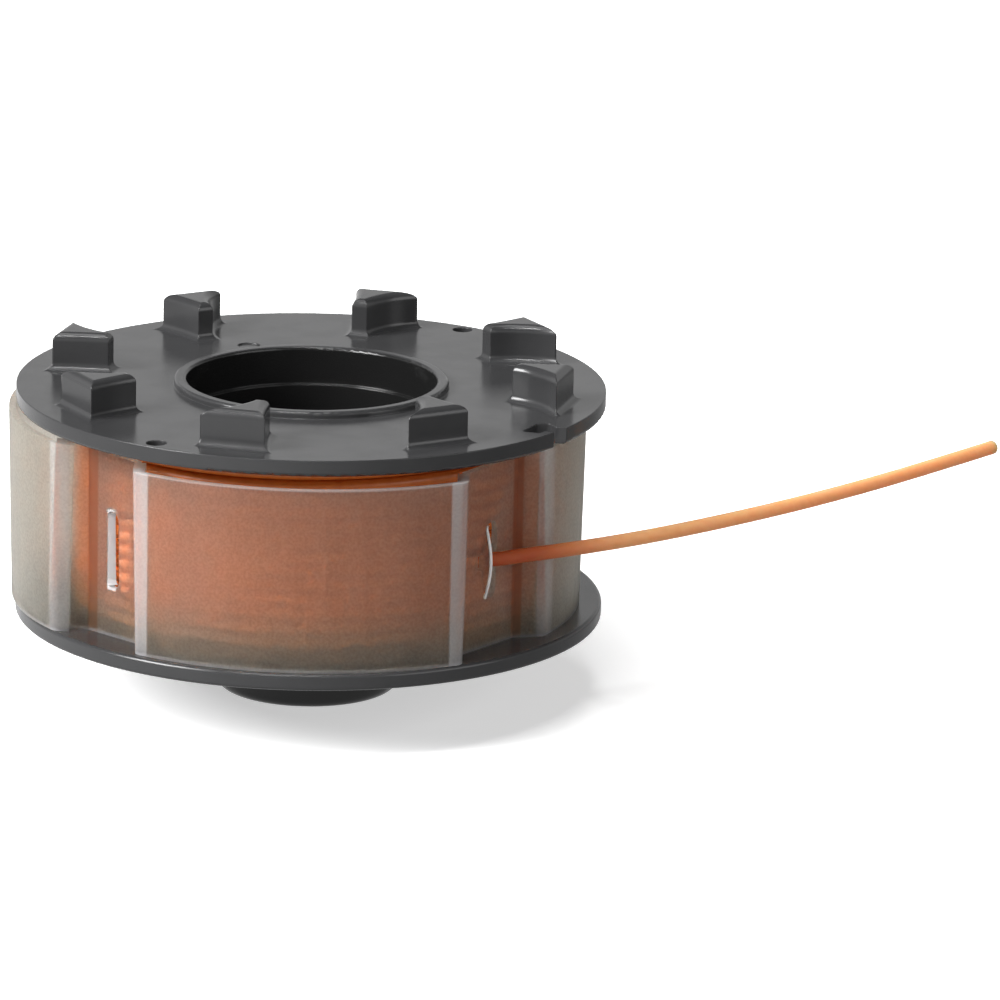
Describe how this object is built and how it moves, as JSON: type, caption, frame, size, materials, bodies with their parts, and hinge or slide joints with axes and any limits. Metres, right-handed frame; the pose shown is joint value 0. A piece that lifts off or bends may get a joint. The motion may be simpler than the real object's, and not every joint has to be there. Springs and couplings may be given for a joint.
{
  "type": "trimmer line spool",
  "caption": "Flanged plastic spool of wound trimmer line with ratchet lugs, a wide bore, a tap knob and a slotted soft band that holds the line's free end.",
  "frame": {"origin": "centre of the tap knob's flat foot, on the spool's axis", "axes": "+Z along the spool's axis from the tap knob up to the ratchet lugs; the line leaves to +X"},
  "size_m": [0.1128, 0.066, 0.039],
  "materials": {
    "spool": "dark grey moulded plastic with a soft sheen",
    "line": "orange nylon line, slightly translucent",
    "band": "soft frosted translucent plastic"
  },
  "bodies": {
    "root": {"spool": "spool", "line_winding": "line", "retaining_band": "band", "line_end": "line"}
  },
  "joints": []
}
